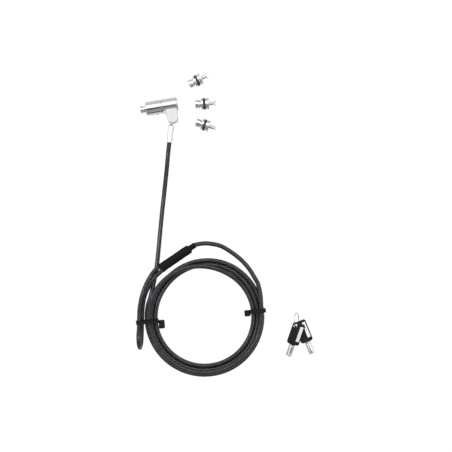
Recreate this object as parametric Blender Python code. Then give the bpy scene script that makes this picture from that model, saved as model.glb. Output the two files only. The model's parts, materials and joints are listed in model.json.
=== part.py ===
"""A laptop cable lock laid out flat on z = 0: lock head, coiled steel cable with a crimped eye,
three interchangeable tips and two tubular keys on a wire ring.

Sizes below are in millimetres; the helpers turn them into metres. +Z is up. The lock head's own
frame has X along the barrel from its key end, and -Y towards the tongue.
"""

import math

import bmesh
import bpy
from mathutils import Matrix, Vector

MM = 0.001
TOUCH_GAP = 0.3  # left between pieces that meet

# Cable
CABLE_RADIUS = 2.7
CABLE_POINT_SPACING = 13.0
COIL_CENTRE = (-27.826, -122.774)
COIL_INNER_RADIUS = 56.4
COIL_OUTER_RADIUS = 72.2
COIL_LOW, COIL_HIGH = 1.3, 11.4  # the tie bands run under it

# Lock head
BARREL_RADIUS = 8.5
BARREL_LENGTH = 38.6
HEAD_START = (-70.1, 249.6)  # key end of the barrel, from the coil's centre
HEAD_TURN = 9.5
NUB_LENGTH = 6.6
SOCKET_RADIUS = 5.2
PIVOT_X, PIVOT_DROP = 29.9, 12.9  # tongue pin, along the barrel and below its axis
TONGUE_HALF_THICKNESS = 7.6
FERRULE_DIRECTION = -96.4

# Tips: place from the coil's centre, and turn
TIP_PLACES = ((-7.6, 284.8, 27.0), (1.4, 256.2, 3.5), (1.8, 230.2, -17.0))
TIP_AXIS_HEIGHT = 7.2
TIP_STEPS = 18

# Keys
KEY_HEAD = (27.0, 15.0, 3.6)
KEY_TUBE_RADIUS = 3.65
KEY_TUBE_LENGTH = 15.2
KEY_HOLE_RADIUS = 2.6
HOLE_TO_HEAD_CENTRE = (9.5, 3.7)
# Each key's hole from the coil's centre, its tilt down towards the tube, and its turn.
# Key 1 lies across key 2.
KEY_PLACES = ((109.15, -9.94, 11.9, 12.5, -108.0), (111.81, -9.99, 5.36, 2.5, -68.0))
RING_RADIUS, RING_WIRE_RADIUS = 8.2, 0.5
RING_CENTRE, RING_LEAN = (110.48, -2.95, 8.6), -22.4

# The cable's free stretches, (x, y, z) from the coil's centre
LEAD_ROUTE = (
    (-42.15, 209.1, 8.5), (-43.6, 196.0, 8.2), (-45.1, 180.0, 6.7), (-47.1, 162.0, 4.6),
    (-49.1, 144.0, 3.3), (-51.0, 127.0, 2.8), (-52.7, 110.0, 2.72), (-54.3, 93.0, 2.72),
    (-55.9, 76.0, 2.72), (-57.6, 60.7, 2.8), (-60.1, 46.0, 3.2),
)
ARC_ROUTE = (
    (64.6, 38.9, 8.2), (61.9, 44.6, 7.8), (52.3, 59.8, 6.4), (39.5, 72.6, 5.2), (21.2, 84.6, 5.0),
    (6.0, 88.2, 5.6), (-4.4, 88.1, 6.1), (-12.2, 86.1, 6.5),
)
EYE_ROUTE = (
    (-54.0, 60.9, 9.9), (-61.0, 54.2, 9.9), (-68.2, 42.6, 9.7), (-74.2, 27.6, 9.4),
    (-77.4, 12.0, 9.2), (-78.2, -3.0, 9.2), (-78.2, -9.5, 10.3), (-78.1, -15.5, 16.0),
    (-78.0, -20.2, 21.0), (-77.8, -26.0, 23.4), (-77.3, -32.6, 20.9), (-76.9, -36.1, 13.6),
    (-76.4, -33.2, 6.2), (-76.0, -26.0, 2.9), (-75.6, -15.0, 3.6), (-75.3, -3.0, 4.1),
    (-74.6, 11.0, 4.2), (-72.2, 24.5, 5.8), (-67.0, 36.5, 8.8), (-59.6, 47.8, 10.0),
    (-50.8, 56.1, 10.0),
)

# Crimped eye's sleeve: its two ends' centres
SLEEVE_ENDS = ((-52.4, 58.5, 9.9), (-12.2, 86.1, 6.5))
SLEEVE_SECTION = (10.8, 7.4)
CRIMP_SECTION = (8.2, 4.8)


def finish(name, colour, roughness, metallic):
    made = bpy.data.materials.new(name)
    made.use_nodes = True
    shader = made.node_tree.nodes["Principled BSDF"]
    shader.inputs["Base Color"].default_value = (*colour, 1)
    shader.inputs["Roughness"].default_value = roughness
    shader.inputs["Metallic"].default_value = metallic
    return made


def from_coil(x, y, z=0.0):
    """A place given from the coil's centre, in the scene's own frame."""
    return (COIL_CENTRE[0] + x, COIL_CENTRE[1] + y, z)


def empty(name, at, turn=(0, 0, 0), parent=None):
    """An axis or a frame that pieces hang from."""
    obj = bpy.data.objects.new(name, None)
    bpy.context.scene.collection.objects.link(obj)
    obj.parent = parent
    obj.location = Vector(at) * MM
    obj.rotation_euler = [math.radians(angle) for angle in turn]
    return obj


def new_object(name, bm, material, parent, at=(0, 0, 0), turn=(0, 0, 0)):
    bmesh.ops.recalc_face_normals(bm, faces=bm.faces)
    mesh = bpy.data.meshes.new(name)
    bm.to_mesh(mesh)
    bm.free()
    mesh.shade_smooth()
    mesh.set_sharp_from_angle(angle=math.radians(35))
    obj = bpy.data.objects.new(name, mesh)
    bpy.context.scene.collection.objects.link(obj)
    if material:
        mesh.materials.append(material)
    obj.parent = parent
    obj.location = Vector(at) * MM
    obj.rotation_euler = [math.radians(angle) for angle in turn]
    return obj


def turned(name, profile, material, parent, steps=24, **place):
    """Spins (x, radius) points round local X. A profile that starts off the axis is closed."""
    bm = bmesh.new()
    points = [bm.verts.new((x * MM, radius * MM, 0)) for x, radius in profile]
    pairs = list(zip(points, points[1:]))
    if profile[0][1] > 0:
        pairs.append((points[-1], points[0]))
    for pair in pairs:
        bm.edges.new(pair)
    bmesh.ops.spin(
        bm, geom=bm.verts[:] + bm.edges[:], cent=(0, 0, 0), axis=(1, 0, 0),
        angle=math.tau, steps=steps, use_merge=True,
    )
    bmesh.ops.remove_doubles(bm, verts=bm.verts, dist=1e-7)
    return new_object(name, bm, material, parent, **place)


def extruded(name, outline, low, high, material, parent, **place):
    """A flat outline in local X and Y, given a thickness from low to high along Z."""
    bm = bmesh.new()
    face = bm.faces.new([bm.verts.new((x * MM, y * MM, low * MM)) for x, y in outline])
    made = bmesh.ops.extrude_face_region(bm, geom=[face])
    top = [item for item in made["geom"] if isinstance(item, bmesh.types.BMVert)]
    bmesh.ops.translate(bm, verts=top, vec=(0, 0, (high - low) * MM))
    return new_object(name, bm, material, parent, **place)


def arc(centre, radius, start, end, steps):
    """Points along an arc, its angles in degrees."""
    angles = [math.radians(start + (end - start) * i / steps) for i in range(steps + 1)]
    return [(centre[0] + radius * math.cos(a), centre[1] + radius * math.sin(a)) for a in angles]


def rounded_box(width, height, radius, steps=4, centre=(0, 0)):
    """A rectangle's outline with round corners."""
    x, y = width / 2 - radius, height / 2 - radius
    corners = ((x, y, 0), (-x, y, 90), (-x, -y, 180), (x, -y, 270))
    outline = []
    for corner_x, corner_y, start in corners:
        middle = (centre[0] + corner_x, centre[1] + corner_y)
        outline += arc(middle, radius, start, start + 90, steps)
    return outline


def boolean(obj, other, operation):
    """Cuts or joins with another object, which stays as a hidden wire guide."""
    other.hide_render = True
    other.display_type = "WIRE"
    modifier = obj.modifiers.new(operation.title() + " " + other.name, "BOOLEAN")
    modifier.operation = operation
    modifier.solver = "EXACT"
    modifier.object = other


def bevel(obj, width, segments=1, angle=40):
    modifier = obj.modifiers.new("Edges", "BEVEL")
    modifier.width = width * MM
    modifier.segments = segments
    modifier.limit_method = "ANGLE"
    modifier.angle_limit = math.radians(angle)


def smooth_route(route, spacing):
    """Even points along a Catmull-Rom curve through the route's own points."""
    points = [Vector(point) for point in route]
    points = [2 * points[0] - points[1]] + points + [2 * points[-1] - points[-2]]
    fine = []
    for before, start, end, after in zip(points, points[1:], points[2:], points[3:]):
        for i in range(24):
            t = i / 24
            fine.append(0.5 * (
                2 * start + (end - before) * t
                + (2 * before - 5 * start + 4 * end - after) * t**2
                + (3 * start - before - 3 * end + after) * t**3
            ))
    fine.append(points[-2])
    lengths = [0.0]
    for a, b in zip(fine, fine[1:]):
        lengths.append(lengths[-1] + (b - a).length)
    count = max(3, round(lengths[-1] / spacing))
    even, at = [], 0
    for i in range(count + 1):
        target = lengths[-1] * i / count
        while at < len(fine) - 2 and lengths[at + 1] < target:
            at += 1
        share = (target - lengths[at]) / (lengths[at + 1] - lengths[at])
        even.append(fine[at].lerp(fine[at + 1], min(share, 1.0)))
    return even


def cable_run(name, route, material, parent, spacing=CABLE_POINT_SPACING):
    """One free stretch of the cable, as a tube."""
    curve = bpy.data.curves.new(name, "CURVE")
    curve.dimensions = "3D"
    curve.bevel_depth = CABLE_RADIUS * MM
    curve.bevel_resolution = 2
    curve.use_fill_caps = True
    points = smooth_route(route, spacing)
    spline = curve.splines.new("POLY")
    spline.points.add(len(points) - 1)
    for point, place in zip(spline.points, points):
        point.co = (*(place * MM), 1)
    curve.materials.append(material)
    obj = bpy.data.objects.new(name, curve)
    bpy.context.scene.collection.objects.link(obj)
    obj.parent = parent


def build_cable(finishes):
    coil = empty("coil_centre", from_coil(0, 0))
    coated = finishes["coated_cable"]
    cable_run("cable_lead", LEAD_ROUTE, coated, coil)
    cable_run("cable_arc", ARC_ROUTE, coated, coil)
    cable_run("cable_eye", EYE_ROUTE, coated, coil, spacing=8.0)
    corner = CABLE_RADIUS
    middle = ((COIL_INNER_RADIUS + COIL_OUTER_RADIUS) / 2, (COIL_LOW + COIL_HIGH) / 2)
    section = rounded_box(
        COIL_OUTER_RADIUS - COIL_INNER_RADIUS, COIL_HIGH - COIL_LOW, corner, 2, middle
    )
    # The ring is turned round its own X, so it is stood up to bring that axis to Z.
    profile = [(height, radius) for radius, height in section]
    turned("cable_coil", profile, coated, coil, steps=48, turn=(0, -90, 0))
    build_sleeve(finishes, coil)
    build_tie("tie_left", finishes, coil, 184.6, (25.2, 13.2), 10.3, -4.4)
    build_tie("tie_right", finishes, coil, 6.4, (17.2, COIL_HIGH + 0.4), 7.5, 1.2)


def build_sleeve(finishes, parent):
    low, high = (Vector(end) for end in SLEEVE_ENDS)
    length = (high - low).length - 2 * TOUCH_GAP
    frame = bpy.data.objects.new("sleeve_axis", None)
    bpy.context.scene.collection.objects.link(frame)
    frame.parent = parent
    along = (high - low).normalized()
    across = Vector((0, 0, 1)).cross(along).normalized()
    turn = Matrix((across, along.cross(across), along)).transposed().to_4x4()
    frame.matrix_local = Matrix.Translation((low + high) / 2 * MM) @ turn

    def stadium(section, grow=0.0):
        return rounded_box(section[0] + grow, section[1] + grow, (section[1] + grow) / 2, 6)

    black = finishes["heat_shrink"]
    half = length / 2
    sleeve = extruded("eye_sleeve", stadium(SLEEVE_SECTION), -half, half, black, frame)
    inside = extruded("sleeve_bore", stadium(CRIMP_SECTION, 0.8), -half - 1, half + 1, None, frame)
    boolean(sleeve, inside, "DIFFERENCE")
    extruded("eye_crimp", stadium(CRIMP_SECTION), -15, 15, finishes["zinc"], frame)


def build_tie(name, finishes, parent, angle, window_size, head_length, head_shift):
    """One nylon tie: a band round the coil's section, with its head inside the ring."""
    band, thickness = 4.6, 1.0
    reach, tall = window_size
    inner = COIL_INNER_RADIUS - TOUCH_GAP
    frame = empty(name + "_frame", (0, 0, 0), (90, 0, angle), parent)
    middle = (inner + reach / 2, (thickness + tall) / 2)
    window = rounded_box(reach, tall - thickness, 2.2, 3, middle)
    outside = rounded_box(
        reach + 2 * thickness, tall + thickness, 3.0, 3, (middle[0], (thickness + tall) / 2)
    )
    nylon = finishes["nylon"]
    tie = extruded(name, outside, -band / 2, band / 2, nylon, frame)
    head = extruded(
        name + "_head", rounded_box(7.4, 5.6, 1.0, 2, (inner - 4.5, 6.2)),
        head_shift - head_length / 2, head_shift + head_length / 2, None, frame,
    )
    boolean(tie, head, "UNION")
    boolean(tie, extruded(name + "_window", window, -8, 8, None, frame), "DIFFERENCE")


def build_barrel(finishes, head):
    """The turning rear half of the lock, with the push-in cylinder and the key plug."""
    chrome, steel = finishes["chrome"], finishes["steel"]
    barrel = empty("barrel_axis", (0, 0, 0), parent=head)
    shell = turned("barrel_shell", (
        (0, 8.0), (0.5, BARREL_RADIUS), (18.8, BARREL_RADIUS), (19.1, 8.2), (19.1, 7.1),
        (17.6, 7.1), (17.6, 7.7), (16.2, 7.7), (16.2, 7.1), (1.8, 7.1), (1.8, 4.7), (0, 4.7),
    ), chrome, barrel, steps=28)
    screw_place = {"at": (12.6, 0, 0), "turn": (0, 0, -90)}
    hole = turned("screw_hole", ((6, 0), (6, 1.25), (10, 1.25), (10, 0)), None, barrel, 12,
                  **screw_place)
    boolean(shell, hole, "DIFFERENCE")
    turned("barrel_screw", ((6.9, 0), (6.9, 0.9), (8.6, 0.9), (8.9, 0.5), (8.9, 0)),
           finishes["black_steel"], barrel, 12, **screw_place)
    turned("cylinder_spring", spring_profile(), steel, barrel, 16)

    turned("lock_cylinder", (
        (-NUB_LENGTH, 3.8), (-NUB_LENGTH, 4.0), (-NUB_LENGTH + 0.3, 4.3), (2.2, 4.3), (2.2, 6.4),
        (6.4, 6.4), (6.4, 3.3), (9.4, 3.3), (9.4, 2.2), (3.0, 2.2), (3.0, 3.8),
    ), chrome, barrel)
    turned("catch_plunger", (
        (9.7, 0), (9.7, 1.0), (23.6, 1.0), (23.6, 4.4), (26.2, 4.4), (26.2, 0),
    ), steel, barrel, 16)
    plug = empty("plug_axis", (0, 0, 0), parent=barrel)
    turned("key_plug", (
        (-NUB_LENGTH + 0.2, 0), (-NUB_LENGTH + 0.2, 2.3), (-NUB_LENGTH + 0.4, 2.5), (-2.0, 2.5),
        (-2.0, 3.5), (2.7, 3.5), (2.7, 1.9), (9.2, 1.9), (9.2, 0),
    ), finishes["brass"], plug, 20)
    for number in range(7):
        pin = empty(f"pin_frame_{number + 1}", (0, 0, 0), (360 * number / 7, 0, 0), plug)
        turned(f"tumbler_pin_{number + 1}", ((-4.8, 0), (-4.8, 0.4), (-2.3, 0.4), (-2.3, 0)),
               steel, pin, 8, at=(0, 3.15, 0))


def spring_profile():
    """The return spring fully pressed: its closed turns stand as a ribbed sleeve."""
    turns, pitch, inner, outer = 3, 0.9, 3.7, 4.6
    outline = []
    for turn in range(turns):
        start = 11.0 + turn * pitch
        outline += [(start, outer - 0.25), (start + pitch / 2, outer)]
    end = 11.0 + turns * pitch
    outline += [(end, outer - 0.25), (end, inner), (11.0, inner)]
    return outline


def build_collar(finishes, head):
    """The front half: collar and forked tongue in one casting, nose ring, catch and pin."""
    zinc, chrome, steel = finishes["satin_zinc"], finishes["chrome"], finishes["steel"]
    collar = turned("collar_housing", (
        (14.4, 0), (14.4, 6.7), (16.2, 6.7), (16.2, 6.0), (17.6, 6.0), (17.6, 6.7), (19.4, 6.7),
        (19.4, 8.2), (19.7, BARREL_RADIUS), (37.0, BARREL_RADIUS), (37.0, 0),
    ), zinc, head, steps=28)
    tongue = extruded("tongue_block", tongue_outline(), -TONGUE_HALF_THICKNESS,
                      TONGUE_HALF_THICKNESS, None, head)
    bevel(tongue, 1.1)
    fillet = extruded("tongue_root", ((19.9, -5), (19.9, -8.4), (23.2, -11.2), (24.5, -5)),
                      -5.4, 5.4, None, head)
    boolean(collar, tongue, "UNION")
    boolean(collar, fillet, "UNION")
    cavity = turned("collar_cavity", (
        (38, 0), (38, SOCKET_RADIUS), (37.2, SOCKET_RADIUS), (37.2, 6.9), (34.8, 6.9),
        (34.8, SOCKET_RADIUS), (18.0, SOCKET_RADIUS), (18.0, 1.5), (14, 1.5), (14, 0),
    ), None, head)
    boolean(collar, cavity, "DIFFERENCE")
    pivot = empty("pivot_axis", (PIVOT_X, -PIVOT_DROP, 0), parent=head)
    slot_outline = arc((0, 0), 4.5, 200, -20, 10) + arc((0, 0), 14, -30, -150, 8)
    slot = extruded("tongue_slot", slot_outline, -2.4, 2.4, None, pivot)
    boolean(collar, slot, "DIFFERENCE")
    pin_hole = extruded("pin_hole", arc((0, 0), 1.75, 0, 330, 11), -9, 5.8, None, pivot)
    boolean(collar, pin_hole, "DIFFERENCE")
    extruded("pivot_pin", arc((0, 0), 1.5, 0, 337.5, 15), -7.3, 5.5, steel, pivot)
    turned("nose_ring", (
        (37.3, SOCKET_RADIUS), (37.3, BARREL_RADIUS), (37.9, BARREL_RADIUS),
        (BARREL_LENGTH, 7.7), (BARREL_LENGTH, SOCKET_RADIUS),
    ), chrome, head, steps=28)
    for number in range(3):
        ball_frame = empty(f"ball_frame_{number + 1}", (36.0, 0, 0), (120 * number + 30, 0, 0), head)
        bm = bmesh.new()
        bmesh.ops.create_icosphere(bm, subdivisions=2, radius=1.0 * MM)
        new_object(f"catch_ball_{number + 1}", bm, steel, ball_frame, at=(0, 5.8, 0))
    clip = arc((0, 0), 7.4, 20, 340, 20) + arc((0, 0), 6.3, 340, 20, 20)
    extruded("retaining_clip", clip, 16.5, 17.3, steel, head, turn=(90, 0, 90))


def tongue_outline():
    """Tapered sides and a round end, seen square on; its top is buried in the collar."""
    end_radius, end_drop = 7.2, 15.2
    half_top, half_low, top, low = 7.1, 6.1, 3.6, 18.9
    tip = arc((PIVOT_X, -end_drop), end_radius, -31, -149, 10)
    right = [(PIVOT_X + half_top, -top), (PIVOT_X + half_low + 0.05, -low + 0.1)]
    left = [(PIVOT_X - half_low - 0.05, -low + 0.1), (PIVOT_X - half_top, -top)]
    return right + tip[1:-1] + left


def build_swivel(finishes, head):
    """The lug in the tongue's slot, and the ferrule that turns on the lug's neck."""
    bpy.context.view_layer.update()
    pivot = head.matrix_world @ Vector((PIVOT_X * MM, -PIVOT_DROP * MM, 0))
    frame = empty("ferrule_axis", pivot / MM, (0, 0, FERRULE_DIRECTION))
    lug = extruded("swivel_lug", arc((0, 0), 4.0, 0, 342, 19), -2.0, 2.0,
                   finishes["satin_zinc"], frame)
    neck = turned("lug_neck", (
        (3.0, 0), (3.0, 1.75), (14.5, 1.75), (14.5, 2.6), (16.9, 2.6), (16.9, 0),
    ), None, frame, 16)
    eye = extruded("lug_hole", arc((0, 0), 1.8, 0, 330, 11), -4, 4, None, frame)
    boolean(lug, neck, "UNION")
    boolean(lug, eye, "DIFFERENCE")
    turned("ferrule", (
        (32.6, 0), (32.6, 3.0), (32.1, 3.3), (13.0, 3.7), (11.0, 2.5), (11.0, 2.1), (14.2, 2.1),
        (14.2, 2.95), (17.3, 2.95), (17.3, 0),
    ), finishes["zinc"], frame, 20)


def build_tip(number, finishes):
    """A tip lying on its flange: stud to the left, T-bar to the right."""
    x, y, turn = TIP_PLACES[number - 1]
    frame = empty(f"tip_{number}_axis", from_coil(x, y, TIP_AXIS_HEIGHT), (0, 0, turn))
    chrome = finishes["chrome"]
    turned(f"tip_{number}_body", (
        (-12.4, 1.9), (-12.4, 4.5), (-11.9, 5.0), (-7.3, 5.0), (-6.9, 4.6), (-6.9, 3.9),
        (-5.4, 3.9), (-5.4, 6.4), (-5.1, 6.75), (-3.1, 6.75), (-3.1, 5.7), (-0.1, 5.7),
        (-0.1, 6.75), (1.9, 6.75), (1.9, 4.0), (3.9, 4.0), (3.9, 1.9),
    ), chrome, frame, TIP_STEPS)
    turned(f"tip_{number}_band", (
        (-2.8, 6.0), (-2.8, 6.75), (-2.4, 6.95), (-0.8, 6.95), (-0.4, 6.75), (-0.4, 6.0),
    ), finishes["rubber"], frame, TIP_STEPS)
    turned(f"tip_{number}_flange", (
        (2.2, 4.3), (2.2, 6.8), (2.6, 7.2), (3.8, 7.2), (4.1, 6.9), (4.1, 4.3),
    ), chrome, frame, TIP_STEPS)
    spindle = turned(f"tip_{number}_bar", (
        (-11.6, 0), (-11.6, 1.6), (4.3, 1.6), (4.3, 2.4), (10.4, 2.1), (10.4, 0),
    ), finishes["steel"], frame, 16)
    bar_outline, half_thick = bar_shape(number)
    bar = extruded(f"tip_{number}_hook", bar_outline, -half_thick, half_thick, None, frame)
    boolean(spindle, bar, "UNION")


def bar_shape(number):
    """Outline in the plane of the bar, and half its thickness, for each tip's lock slot."""
    if number == 3:  # two small hooks on a slimmer blade
        return ((6.0, 1.5), (6.0, -1.5), (10.4, -1.5), (10.9, -2.5), (12.4, -2.5),
                (12.4, 2.5), (10.9, 2.5), (10.4, 1.5)), 1.1
    width, start = (3.6, 9.9) if number == 1 else (3.5, 10.5)
    return ((7.0, 1.9), (7.0, -1.9), (start, -2.2), (start + 0.6, -width), (12.0, -width),
            (12.4, -width + 0.5), (12.4, width - 0.5), (12.0, width), (start + 0.6, width),
            (start, 2.2)), 1.5


def build_key(number, finishes, parent):
    """A key in its own frame, which starts at its ring hole: X towards the tube, Z up."""
    x, y, z, tilt, turn = KEY_PLACES[number - 1]
    frame = empty(f"key_{number}_axis", (x, y, z), (0, tilt, turn), parent)
    length, width, thickness = KEY_HEAD
    middle_x, middle_y = HOLE_TO_HEAD_CENTRE
    half, end = thickness / 2, middle_x + length / 2
    head = rounded_box(length, width, 2.6, 3, HOLE_TO_HEAD_CENTRE)
    key = extruded(f"key_{number}_head", head, -half, half, finishes["black_plastic"], frame)
    bevel(key, 0.5)
    label_middle = (middle_x - 1.0, middle_y + 4.2)
    cuts = (
        ("hole", arc((0, 0), KEY_HOLE_RADIUS, 0, 330, 11), -half - 1, half + 1),
        ("recess", rounded_box(20, 4.4, 0.6, 1, label_middle), half - 0.6, half + 1),
        ("tang_slot", rounded_box(8.4, 5.6, 0.6, 1, (end - 3.6, middle_y)), -1.1, 1.1),
    )
    for what, outline, low, high in cuts:
        cutter = extruded(f"key_{number}_{what}", outline, low, high, None, frame)
        boolean(key, cutter, "DIFFERENCE")
    extruded(f"key_{number}_label", rounded_box(19.4, 3.8, 0.4, 1, label_middle),
             half - 0.3, half - 0.05, finishes["silver_label"], frame)
    start, stop = length / 2 + TOUCH_GAP, length / 2 + KEY_TUBE_LENGTH
    tube = turned(f"key_{number}_tube", (
        (start, 0), (start, 3.4), (start + 0.3, KEY_TUBE_RADIUS), (stop, KEY_TUBE_RADIUS),
        (stop, 2.8), (start + 3.0, 2.8), (start + 3.0, 0),
    ), finishes["chrome"], frame, 20, at=(middle_x, middle_y, 0))
    tang = extruded(f"key_{number}_tang", rounded_box(7.4, 5.0, 0.4, 1, (start - 2.5, 0)),
                    -0.8, 0.8, None, frame, at=(middle_x, middle_y, 0))
    boolean(tube, tang, "UNION")


def build_keys(finishes):
    """Two keys stacked on a ring that stands through their holes and leans over."""
    coil = bpy.data.objects["coil_centre"]
    section = [(RING_WIRE_RADIUS * math.cos(angle), RING_RADIUS + RING_WIRE_RADIUS * math.sin(angle))
               for angle in (math.tau * side / 6 for side in range(6))]
    turned("key_ring", section, finishes["steel"], coil, 28, at=RING_CENTRE, turn=(0, RING_LEAN, 0))
    for number in (1, 2):
        build_key(number, finishes, coil)


def main():
    for obj in list(bpy.data.objects):
        bpy.data.objects.remove(obj)
    finishes = {
        "chrome": finish("chrome", (0.82, 0.82, 0.83), 0.12, 1.0),
        "satin_zinc": finish("satin_zinc", (0.72, 0.72, 0.73), 0.35, 1.0),
        "zinc": finish("zinc", (0.75, 0.75, 0.76), 0.3, 1.0),
        "steel": finish("steel", (0.62, 0.62, 0.62), 0.3, 1.0),
        "black_steel": finish("black_steel", (0.03, 0.03, 0.03), 0.4, 1.0),
        "brass": finish("brass", (0.75, 0.6, 0.32), 0.3, 1.0),
        "rubber": finish("rubber", (0.02, 0.02, 0.02), 0.7, 0.0),
        "nylon": finish("nylon", (0.012, 0.012, 0.013), 0.5, 0.0),
        "heat_shrink": finish("heat_shrink", (0.02, 0.02, 0.021), 0.6, 0.0),
        "coated_cable": finish("coated_cable", (0.045, 0.045, 0.048), 0.3, 0.3),
        "black_plastic": finish("black_plastic", (0.025, 0.025, 0.027), 0.45, 0.0),
        "silver_label": finish("silver_label", (0.78, 0.78, 0.79), 0.4, 0.6),
    }
    build_cable(finishes)
    head = empty("head_axis", from_coil(*HEAD_START, BARREL_RADIUS), (0, 0, HEAD_TURN))
    build_barrel(finishes, head)
    build_collar(finishes, head)
    build_swivel(finishes, head)
    for number in (1, 2, 3):
        build_tip(number, finishes)
    build_keys(finishes)


main()
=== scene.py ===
"""The looks of a laptop cable lock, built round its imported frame: lock head, coiled cable with a
crimped eye, three loose tips and two tubular keys on a ring.

Shapes are worked out in millimetres, in the frame of the piece that they belong to, and land in the
mesh in metres. +Z is up. It is laid out as an add-on and is run as a script.
"""

import json
import math

import bmesh
import bpy
import numpy as np
from bpy.props import FloatProperty, FloatVectorProperty, PointerProperty
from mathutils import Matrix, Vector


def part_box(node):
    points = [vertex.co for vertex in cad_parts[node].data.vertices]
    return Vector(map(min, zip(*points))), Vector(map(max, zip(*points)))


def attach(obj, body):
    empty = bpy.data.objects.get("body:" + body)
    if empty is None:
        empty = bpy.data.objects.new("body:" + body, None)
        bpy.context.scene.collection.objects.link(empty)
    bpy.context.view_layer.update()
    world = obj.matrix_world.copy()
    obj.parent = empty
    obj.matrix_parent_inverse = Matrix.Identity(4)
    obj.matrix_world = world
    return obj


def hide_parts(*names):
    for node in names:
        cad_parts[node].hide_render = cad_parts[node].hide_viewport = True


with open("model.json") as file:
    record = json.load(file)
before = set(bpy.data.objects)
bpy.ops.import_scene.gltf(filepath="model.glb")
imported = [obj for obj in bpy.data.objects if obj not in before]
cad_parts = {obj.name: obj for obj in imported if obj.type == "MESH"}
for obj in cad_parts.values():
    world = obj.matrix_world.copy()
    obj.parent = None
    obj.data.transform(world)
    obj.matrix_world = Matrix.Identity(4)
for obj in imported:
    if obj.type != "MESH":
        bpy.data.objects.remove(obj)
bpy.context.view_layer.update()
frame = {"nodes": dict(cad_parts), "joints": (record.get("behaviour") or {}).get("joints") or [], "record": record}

bl_info = {
    "name": "Laptop Cable Lock",
    "version": (1, 0, 0),
    "blender": (4, 5, 0),
    "location": "View3D > Sidebar > Cable Lock",
    "description": "Builds the finished pieces of a laptop cable lock round its frame",
    "category": "Add Mesh",
}

MM = 0.001
UP = np.array((0.0, 0.0, 1.0))
JOINTS = {joint["name"]: joint for joint in frame["joints"]}

# The cable's route, in millimetres from the coil's centre. The coil itself is worked out below.
FERRULE_BORE = ((-41.48, 215.06, 8.5),)
LEAD_ROUTE = (
    (-42.15, 209.1, 8.5), (-43.6, 196.0, 8.2), (-45.1, 180.0, 6.7), (-47.1, 162.0, 4.6),
    (-49.1, 144.0, 3.3), (-51.0, 127.0, 2.8), (-52.7, 110.0, 2.72), (-54.3, 93.0, 2.72),
    (-55.9, 76.0, 2.72), (-57.6, 60.7, 2.8), (-60.1, 46.0, 3.2),
)
COIL_LEAVING = ((67.9, 17.5, 9.2), (67.0, 28.5, 8.9))
ARC_ROUTE = (
    (64.6, 38.9, 8.2), (61.9, 44.6, 7.8), (52.3, 59.8, 6.4), (39.5, 72.6, 5.2), (21.2, 84.6, 5.0),
    (6.0, 88.2, 5.6), (-4.4, 88.1, 6.1), (-12.2, 86.1, 6.5),
)
EYE_ROUTE = (
    (-54.0, 60.9, 9.9), (-61.0, 54.2, 9.9), (-68.2, 42.6, 9.7), (-74.2, 27.6, 9.4),
    (-77.4, 12.0, 9.2), (-78.2, -3.0, 9.2), (-78.2, -9.5, 10.3), (-78.1, -15.5, 16.0),
    (-78.0, -20.2, 21.0), (-77.8, -26.0, 23.4), (-77.3, -32.6, 20.9), (-76.9, -36.1, 13.6),
    (-76.4, -33.2, 6.2), (-76.0, -26.0, 2.9), (-75.6, -15.0, 3.6), (-75.3, -3.0, 4.1),
    (-74.6, 11.0, 4.2), (-72.2, 24.5, 5.8), (-67.0, 36.5, 8.8), (-59.6, 47.8, 10.0),
    (-50.8, 56.1, 10.0),
)
SLEEVE_LOW, SLEEVE_HIGH = np.array((-52.4, 58.5, 9.9)), np.array((-12.2, 86.1, 6.5))
STRAND_APART = 2.75  # each of the two strands lies this far from the sleeve's middle

# The coil: its angles run on from turn to turn, in degrees, and each move starts at one angle and
# ends at another: in to the next turn, up onto the others, down into their groove, and out
COIL_INNER_RADIUS = 56.4
TURN_RADII = (69.5, 64.2, 58.9)
TOP_TURN_RADIUS = 66.8  # lies in the groove between the two outer turns
TURN_HEIGHT = 4.0
COIL_START, COIL_STOP, COIL_STEP = 158.0, 1450.0, 12.0
TO_MIDDLE, TO_INNER, TO_TOP = (415, 515), (775, 875), (1135, 1245)
CLIMB, CLIMB_HEIGHT = (1115, 1160), 5.4
SINK, SINK_DEPTH = (1230, 1262), 0.7
LEAVE, LEAVE_REACH, LEAVE_RISE = (1385, 1446), 1.4, 0.2

# Heat-shrink sleeve: half its width and height round two strands, and how far it narrows past them
SLEEVE_WIDE, SLEEVE_TALL = 5.45, 3.75
SLEEVE_NARROWING, SLEEVE_LOWERING = 2.05, 0.45
SLEEVE_WALL, SLEEVE_FLARE = 0.7, 0.35

# Ties: angle round the coil, reach and height of the window, and the head's length and shift
TIES = {"tie_left": (184.6, 25.2, 13.2, 10.3, -4.4), "tie_right": (6.4, 17.2, 11.8, 7.5, 1.2)}
STRAP_WIDTH, STRAP_THICKNESS = 4.6, 0.94
RIDGE_SPACING, RIDGE_DEPTH = 1.3, 0.24
TIE_HEAD_REACH, TIE_HEAD_TALL, TIE_HEAD_HEIGHT = 7.2, 5.6, 6.2

# Lock head, along the barrel from its key end
BARREL_RADIUS, COLLAR_START, COLLAR_END, NOSE_END = 8.5, 19.4, 37.0, 38.6
BARREL_BORE, KEY_END_BORE, SOCKET_BORE = 7.1, 4.7, 5.2
CLIP_START, CLIP_END = 16.2, 17.6  # grooves of the clip that joins barrel and collar
SCREW_X, SCREW_RADIUS = 12.6, 1.25
PIVOT_X, PIVOT_DROP, PIN_RADIUS = 29.9, 12.9, 1.75
TONGUE_HALF_THICKNESS, TONGUE_END_RADIUS = 6.9, 7.2
TONGUE_ROOT_HALF_WIDTH, TONGUE_TIP_HALF_WIDTH = 7.1, 6.15
FILLET_HALF_THICKNESS, SLOT_HALF_WIDTH = 5.6, 2.4
NUB_LENGTH, NUB_RADIUS = 6.6, 4.3
PRESS_MARK_DEPTH = 0.22

# Tips: outer radii of the stud, the drum and the flange
STUD_RADIUS, DRUM_RADIUS, FLANGE_RADIUS = 5.0, 6.75, 7.2

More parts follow.
